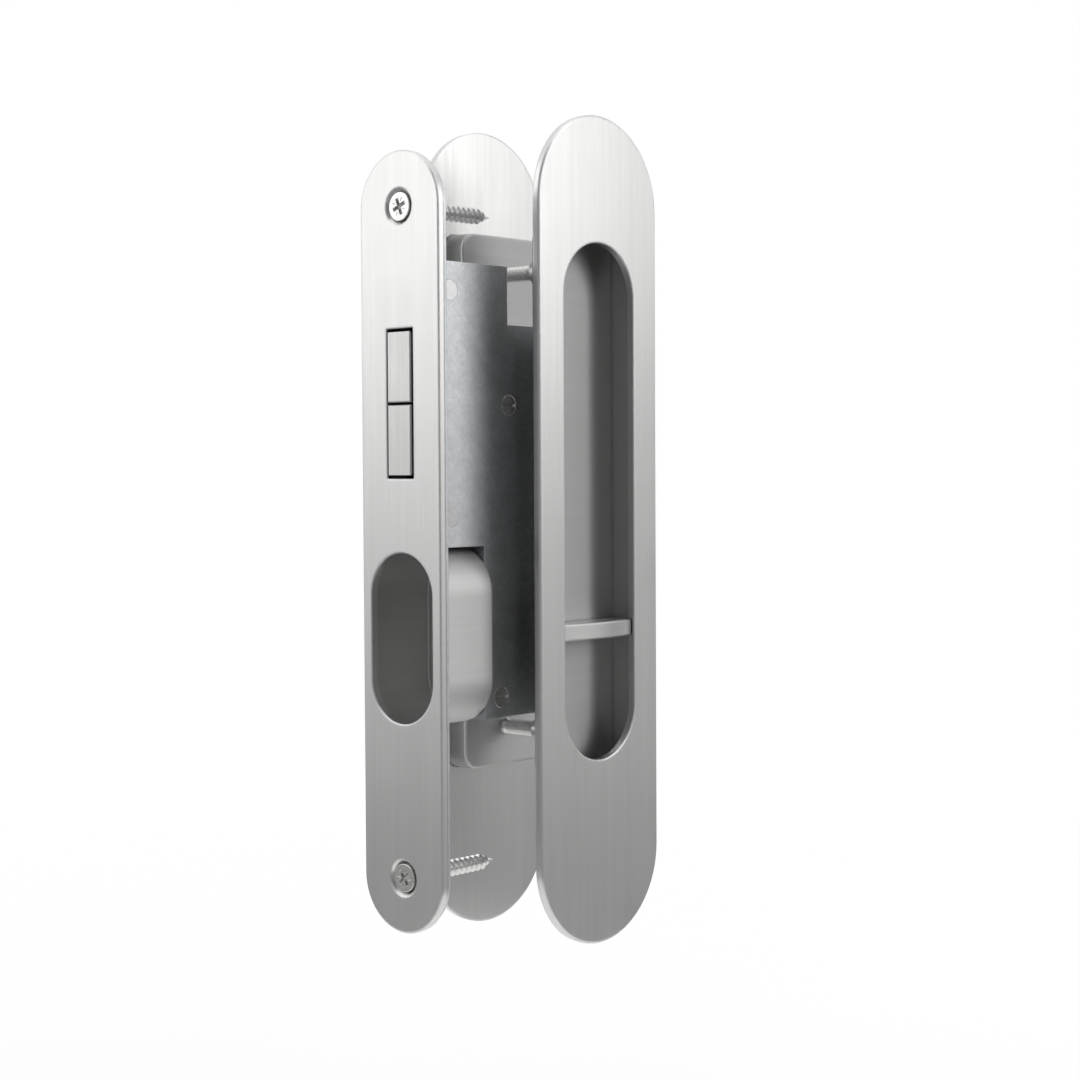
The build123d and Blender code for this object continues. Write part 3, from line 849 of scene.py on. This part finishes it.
    def _wind_thread(self, bm: bmesh.types.BMesh) -> None:
        """Winds the thread's ridge down the shank, fading it in and out.

        Args:
            bm: The screw's bmesh.
        """
        start = self.thread_start + self.pitch * self.lead_in_turns
        turns = (self.length - self.pitch * self.run_out_turns - start) / self.pitch
        half = self.ridge_share * self.pitch
        root_r = self.core_r - self.thread_bury
        section = [(root_r, -start + half), (self.crest_r, -start), (root_r, -start - half)]
        before = set(bm.verts)
        verts = [bm.verts.new((r, 0.0, z)) for r, z in section]
        edges = [bm.edges.new(pair) for pair in zip(verts, verts[1:] + verts[:1])]
        steps = round(turns * self.thread_steps)
        last = bmesh.ops.spin(
            bm,
            geom=verts + edges,
            cent=(0.0, 0.0, 0.0),
            axis=(0.0, 0.0, -1.0),
            dvec=(0.0, 0.0, -turns * self.pitch / steps),
            angle=turns * 2 * math.pi,
            steps=steps,
        )["geom_last"]
        bm.faces.new(verts)
        bm.faces.new(verts_in(last))
        for vert in set(bm.verts) - before:
            out = Vector((vert.co.x, vert.co.y, 0.0))
            if out.length > self.core_r:
                passed = (-vert.co.z - start) / self.pitch
                rise = max(0.0, min(1.0, passed / self.fade_turns, (turns - passed) / self.fade_turns))
                wanted = root_r + (self.crest_r - root_r) * rise
                vert.co -= out * (1.0 - wanted / out.length)

    def _taper_point(self, bm: bmesh.types.BMesh) -> None:
        """Draws the end of a wood screw in to its point.

        Args:
            bm: The screw's bmesh.
        """
        if self.point <= 0.0:
            return
        for vert in bm.verts:
            if -vert.co.z > self.length - self.point:
                share = max(self.tip_share, (self.length + vert.co.z) / self.point)
                vert.co.x *= share
                vert.co.y *= share


def stand_in(node: str, name: str, bm: bmesh.types.BMesh, seats: list[Matrix]) -> None:
    """Puts detailed fasteners where a node's plain ones are.

    Args:
        node: Node of the plain fasteners.
        name: Name of the new piece.
        bm: One fastener, modelled at the origin, which is freed.
        seats: Where each copy goes.
    """
    first = bm.verts[:] + bm.edges[:] + bm.faces[:]
    for seat in seats[1:]:
        copied = bmesh.ops.duplicate(bm, geom=first)["geom"]
        bmesh.ops.transform(bm, matrix=seat, verts=verts_in(copied))
    bmesh.ops.transform(bm, matrix=seats[0], verts=verts_in(first))
    piece = make_piece(name, bm, SCREW)
    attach(piece, "lock")
    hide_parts(node)
    LOG.info("made %s", name)


@dataclass
class FaceplateSet:
    """Faceplate in the door's edge with its fore-end, finger cup and two screws."""

    head_turns_deg: tuple[float, float] = (22.0, 38.0)
    screw: Screw = field(
        default_factory=lambda: Screw(
            head_r=3.5 * MM,
            land=0.9 * MM,
            core_r=1.45 * MM,
            crest_r=2.1 * MM,
            length=31.8 * MM,
            point=5.0 * MM,
            pitch=1.8 * MM,
            ridge_share=0.24,
            thread_start=7.1 * MM,
            recess=Recess.CROSS,
            recess_depth=1.1 * MM,
            recess_floor_share=0.62,
            arm_width=0.95 * MM,
            arm_reach=2.15 * MM,
        )
    )

    def build(self) -> None:
        """Dresses the plates and cup, and makes the two screws."""
        dress(PLATE, "faceplate")
        dress(ZINC, "inner_forend")
        dress(LIT_FINGER_CUP, "finger_cup")
        low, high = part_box("faceplate_screws")
        face_out = Matrix.Rotation(math.radians(-90.0), 4, "Y")
        seats = []
        for rise, turn in zip(self.screw.rises(low, high), self.head_turns_deg):
            place = Matrix.Translation((low.x, 0.0, rise))
            seats.append(place @ face_out @ Matrix.Rotation(math.radians(turn), 4, "Z"))
        stand_in("faceplate_screws", "cross_recess_screws", self.screw.build(), seats)


@dataclass
class HookBolts:
    """Pair of hook bolts with their drive pins."""

    halves: tuple[str, ...] = ("upper_hook", "lower_hook")
    pins: tuple[str, ...] = ("upper_hook_pin", "lower_hook_pin")

    def build(self) -> None:
        """Dresses both hooks and their pins."""
        dress(HOOK, *self.halves)
        dress(PIN, *self.pins)


@dataclass
class LockCase:
    """Mortice case and the works inside it that stay with the door."""

    sheet: tuple[str, ...] = ("case_body", "case_cover", "drive_carriage")
    turned: tuple[str, ...] = ("case_posts", "hook_pivot_pins", "hook_spacers")

    def build(self) -> None:
        """Dresses the case, its posts, pins, screws and spring."""
        dress(ZINC, *self.sheet)
        dress(PIN, *self.turned)
        dress(SCREW, "case_cover_screws")
        dress(SPRING, "detent_spring")


@dataclass
class TurnSet:
    """Snib, release, spindle and hub, which turn together."""

    steel: tuple[str, ...] = ("snib_hub", "spindle", "crank_pin")

    def build(self) -> None:
        """Dresses everything on the spindle."""
        dress(SNIB, "snib")
        dress(RELEASE, "release_turn")
        dress(PIN, *self.steel)
        dress(BRASS, "follower_hub")
        dress(SPRING, "release_clip")


@dataclass
class FlushPulls:
    """Pull on each face of the door, and the bolts that draw the two together."""

    bolt: Screw = field(
        default_factory=lambda: Screw(
            head_r=3.2 * MM,
            land=0.12 * MM,
            core_r=1.62 * MM,
            crest_r=2.0 * MM,
            length=20.8 * MM,
            point=0.0,
            pitch=0.7 * MM,
            ridge_share=0.46,
            thread_start=1.6 * MM,
            recess=Recess.SLOT,
            recess_depth=0.8 * MM,
            recess_floor_share=1.0,
            arm_width=0.8 * MM,
            arm_reach=2.7 * MM,
        )
    )

    def build(self) -> None:
        """Dresses the plates, cups, bushes and sleeves, and makes the bolts."""
        dress(PLATE, "inside_pull_plate", "outside_pull_plate")
        dress(CUP, "inside_pull_cup", "outside_pull_cup")
        dress(PIN, "pull_sleeves")
        dress(NYLON, "turn_bushes")
        low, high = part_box("pull_bolts")
        middle_x = (low.x + high.x) / 2
        face_out = Matrix.Rotation(math.radians(-90.0), 4, "X")
        places = [Matrix.Translation((middle_x, high.y, rise)) for rise in self.bolt.rises(low, high)]
        seats = [place @ face_out for place in places]
        stand_in("pull_bolts", "threaded_pull_bolts", self.bolt.build(), seats)


@dataclass(frozen=True)
class SoftBox:
    """Rectangular studio lamp that faces a point."""

    name: str
    centre: Point
    width: float
    height: float
    brightness: float
    target: Point = (0.03, 0.0, 0.0)

    def build(self) -> None:
        """Makes the lamp, with its power worked out from how bright its face is."""
        lamp = bpy.data.lights.new(self.name, "AREA")
        lamp.shape = "RECTANGLE"
        lamp.size, lamp.size_y = self.width, self.height
        lamp.energy = self.brightness * math.pi * self.width * self.height
        stand = bpy.data.objects.new(self.name, lamp)
        stand.location = self.centre
        aim = Vector(self.target) - Vector(self.centre)
        stand.rotation_euler = aim.to_track_quat("-Z", "Y").to_euler()
        bpy.context.scene.collection.objects.link(stand)
        LOG.info("lit %s", self.name)


@dataclass(frozen=True)
class WallCard:
    """Upright curved card round the object, from one bearing to another."""

    name: str
    shade: float
    r: float
    top: float
    start_deg: float
    end_deg: float
    steps: int = 24


@dataclass
class Studio:
    """Pale floor, white surround, soft lamps, and dark cards that only the metal sees.

    Shades and glows are parts of white. A fade is the distance from the spot under the object where it
    starts and the distance where it ends.
    """

    centre_x: float = 30.0 * MM
    floor_level: float = -150.0 * MM
    floor_r: float = 6.0
    floor_colour: Colour = (0.94, 0.94, 0.94)
    floor_roughness: float = 0.9
    floor_glow: float = 0.7
    floor_fade: tuple[float, float] = (0.12, 0.5)
    fill: float = 0.85
    ring_shades: tuple[float, float] = (0.30, 0.60)
    ring_fade: tuple[float, float] = (0.15, 1.2)
    ring_inner_r: float = 0.10
    ring_outer_r: float = 5.0
    card_foot: float = 20.0 * MM
    round_steps: int = 96
    wall_cards: tuple[WallCard, ...] = (
        WallCard("camera_card", shade=0.22, r=0.8, top=1.5, start_deg=183.5, end_deg=263.5),
        WallCard("far_card", shade=0.11, r=1.2, top=1.2, start_deg=-40.0, end_deg=-22.0),
    )
    lamps: tuple[SoftBox, ...] = (
        SoftBox("pull_side_lamp", (1.10, -1.23, 0.75), width=1.6, height=1.3, brightness=1.5),
        SoftBox("edge_side_lamp", (-1.25, 1.15, 0.75), width=1.6, height=1.3, brightness=0.65),
        SoftBox("top_lamp", (0.0, 0.0, 1.6), width=1.6, height=1.6, brightness=0.4),
    )

    def build(self) -> None:
        """Builds the whole studio."""
        self._surround()
        self._floor()
        self._ring_card()
        for card in self.wall_cards:
            self._wall_card(card)
        for lamp in self.lamps:
            lamp.build()

    @staticmethod
    def _seen_directly(bench: NodeBench) -> Socket:
        """Tells camera, mirror and glass rays from the rest.

        Args:
            bench: Bench of the tree that asks.

        Returns:
            Socket that is 1 for those rays and 0 for others.
        """
        path = bench.put("ShaderNodeLightPath").outputs
        shiny = bench.math("MAXIMUM", path["Is Glossy Ray"], path["Is Transmission Ray"])
        return bench.math("MAXIMUM", path["Is Camera Ray"], shiny)

    def _distance(self, bench: NodeBench) -> Socket:
        """Measures how far a point is from the spot on the floor under the object."""
        place = bench.put("ShaderNodeTexCoord").outputs["Object"]
        return bench.vector("DISTANCE", place, (self.centre_x, 0.0, self.floor_level))

    def _surround(self) -> None:
        """Makes the white surround, which lights the object softly."""
        world = bpy.data.worlds.new("white_surround")
        world.use_nodes = True
        world.node_tree.nodes.clear()
        bench = NodeBench(world.node_tree)
        light = bench.put("ShaderNodeBackground", {"Color": WHITE, "Strength": self.fill})
        white = bench.put("ShaderNodeBackground", {"Color": WHITE, "Strength": 1.0})
        feeds = {0: self._seen_directly(bench), 1: light.outputs[0], 2: white.outputs[0]}
        shown = bench.put("ShaderNodeMixShader", feeds)
        bench.put("ShaderNodeOutputWorld", {"Surface": shown.outputs[0]})
        bpy.context.scene.world = world

    def _floor(self) -> None:
        """Makes the pale floor, which keeps the object's shadow and fades into the surround."""
        material, bench = blank_material("pale_floor")
        matt = {"Base Color": paint(self.floor_colour), "Roughness": self.floor_roughness}
        coat = bench.put("ShaderNodeBsdfPrincipled", matt)
        glow = bench.put("ShaderNodeEmission", {"Color": WHITE, "Strength": 1.0})
        glowing = bench.spread(self._distance(bench), *self.floor_fade, self.floor_glow, 1.0)
        share = bench.math("MULTIPLY", self._seen_directly(bench), glowing)
        shown = bench.put("ShaderNodeMixShader", {0: share, 1: coat.outputs[0], 2: glow.outputs[0]})
        bench.put("ShaderNodeOutputMaterial", {"Surface": shown.outputs[0]})
        bm = bmesh.new()
        bmesh.ops.create_circle(bm, cap_ends=True, segments=self.round_steps, radius=self.floor_r)
        bmesh.ops.translate(bm, vec=(0.0, 0.0, self.floor_level), verts=bm.verts[:])
        self._stand("floor", bm, material)

    def _ring_card(self) -> None:
        """Makes the dark ring above the floor that shades the metal towards its foot."""
        bm = bmesh.new()
        for r in (self.ring_inner_r, self.ring_outer_r):
            bmesh.ops.create_circle(bm, segments=self.round_steps, radius=r)
        bmesh.ops.bridge_loops(bm, edges=bm.edges[:])
        level = self.floor_level + self.card_foot
        bmesh.ops.translate(bm, vec=(self.centre_x, 0.0, level), verts=bm.verts[:])
        self._card("ring_card", bm, *self.ring_shades)

    def _wall_card(self, card: WallCard) -> None:
        """Makes one dark curved wall that shades the metal towards its side.

        Args:
            card: Size and place of the wall.
        """
        bm = bmesh.new()
        centre, upright = (0.0, 0.0, 0.0), (0.0, 0.0, 1.0)
        foot = bm.verts.new((card.r, 0.0, self.floor_level + self.card_foot))
        head = bm.verts.new((card.r, 0.0, card.top))
        edge = bm.edges.new((foot, head))
        start = Matrix.Rotation(math.radians(card.start_deg), 3, "Z")
        bmesh.ops.rotate(bm, cent=centre, matrix=start, verts=[foot, head])
        sweep = math.radians(card.end_deg - card.start_deg)
        line = [foot, head, edge]
        bmesh.ops.spin(bm, geom=line, cent=centre, axis=upright, angle=sweep, steps=card.steps)
        bmesh.ops.translate(bm, vec=(self.centre_x, 0.0, 0.0), verts=bm.verts[:])
        self._card(card.name, bm, card.shade, card.shade)

    def _card(self, name: str, bm: bmesh.types.BMesh, near: float, far: float) -> None:
        """Puts up a card that shows in polished metal and nowhere else.

        Args:
            name: Name of the card.
            bm: Its geometry, which is freed.
            near: How bright it is near the object, with 1 for white.
            far: How bright it is away from the object.
        """
        material, bench = blank_material(name)
        # A card of one shade keeps the fade too, because metal renders paler by cards without it
        strength = bench.spread(self._distance(bench), *self.ring_fade, near, far)
        grey = bench.put("ShaderNodeEmission", {"Color": WHITE, "Strength": strength})
        bench.put("ShaderNodeOutputMaterial", {"Surface": grey.outputs[0]})
        card = self._stand(name, bm, material)
        card.visible_camera = False
        card.visible_diffuse = False
        card.visible_shadow = False
        card.visible_transmission = False

    @staticmethod
    def _stand(name: str, bm: bmesh.types.BMesh, material: bpy.types.Material) -> bpy.types.Object:
        """Puts a piece of the studio in the scene.

        Args:
            name: Name of the piece.
            bm: Its geometry, which is freed.
            material: Its material.

        Returns:
            The new object.
        """
        mesh = bpy.data.meshes.new(name)
        bm.to_mesh(mesh)
        bm.free()
        mesh.materials.append(material)
        piece = bpy.data.objects.new(name, mesh)
        bpy.context.scene.collection.objects.link(piece)
        LOG.info("set up %s", name)
        return piece


@dataclass
class PhotoCamera:
    """Camera where the picture was taken from."""

    place: Point = (-340.42 * MM, -352.27 * MM, 17.95 * MM)
    yaw_deg: float = 47.97
    pitch_deg: float = -2.005
    roll_deg: float = -0.302
    focal_px: float = 2017.4
    frame_px: float = 1080.0
    sensor_mm: float = 36.0
    nearest: float = 10.0 * MM

    def build(self) -> None:
        """Makes the camera and hands it to the scene."""
        yaw, pitch, roll = map(math.radians, (self.yaw_deg, self.pitch_deg, self.roll_deg))
        flat = math.cos(pitch)
        ahead = Vector((math.sin(yaw) * flat, math.cos(yaw) * flat, math.sin(pitch)))
        level = Vector((math.cos(yaw), -math.sin(yaw), 0.0))
        above = level.cross(ahead)
        right = level * math.cos(roll) + above * math.sin(roll)
        up = above * math.cos(roll) - level * math.sin(roll)
        lens = bpy.data.cameras.new("photo_camera")
        lens.sensor_width = self.sensor_mm
        lens.lens = self.focal_px / self.frame_px * self.sensor_mm
        lens.clip_start = self.nearest
        camera = bpy.data.objects.new("photo_camera", lens)
        facing = Matrix((right, up, -ahead)).transposed().to_4x4()
        camera.matrix_world = Matrix.Translation(self.place) @ facing
        bpy.context.scene.collection.objects.link(camera)
        bpy.context.scene.camera = camera
        LOG.info("set the camera")


def clear_defaults() -> None:
    """Removes the objects of Blender's start-up file, where it was loaded."""
    for name in ("Cube", "Light", "Camera"):
        left = bpy.data.objects.get(name)
        if left:
            bpy.data.objects.remove(left)


def main() -> None:
    """Builds the lock's looks, the studio and the camera."""
    logging.basicConfig(level=logging.INFO, format="%(name)s: %(message)s")
    clear_defaults()
    bpy.context.view_layer.update()
    bpy.context.scene.view_settings.view_transform = "Standard"
    PhotoCamera().build()
    for assembly in (FaceplateSet(), HookBolts(), LockCase(), TurnSet(), FlushPulls()):
        assembly.build()
        LOG.info("finished %s", type(assembly).__name__)
    Studio().build()
    bpy.context.view_layer.update()


if __name__ == "__main__":
    main()
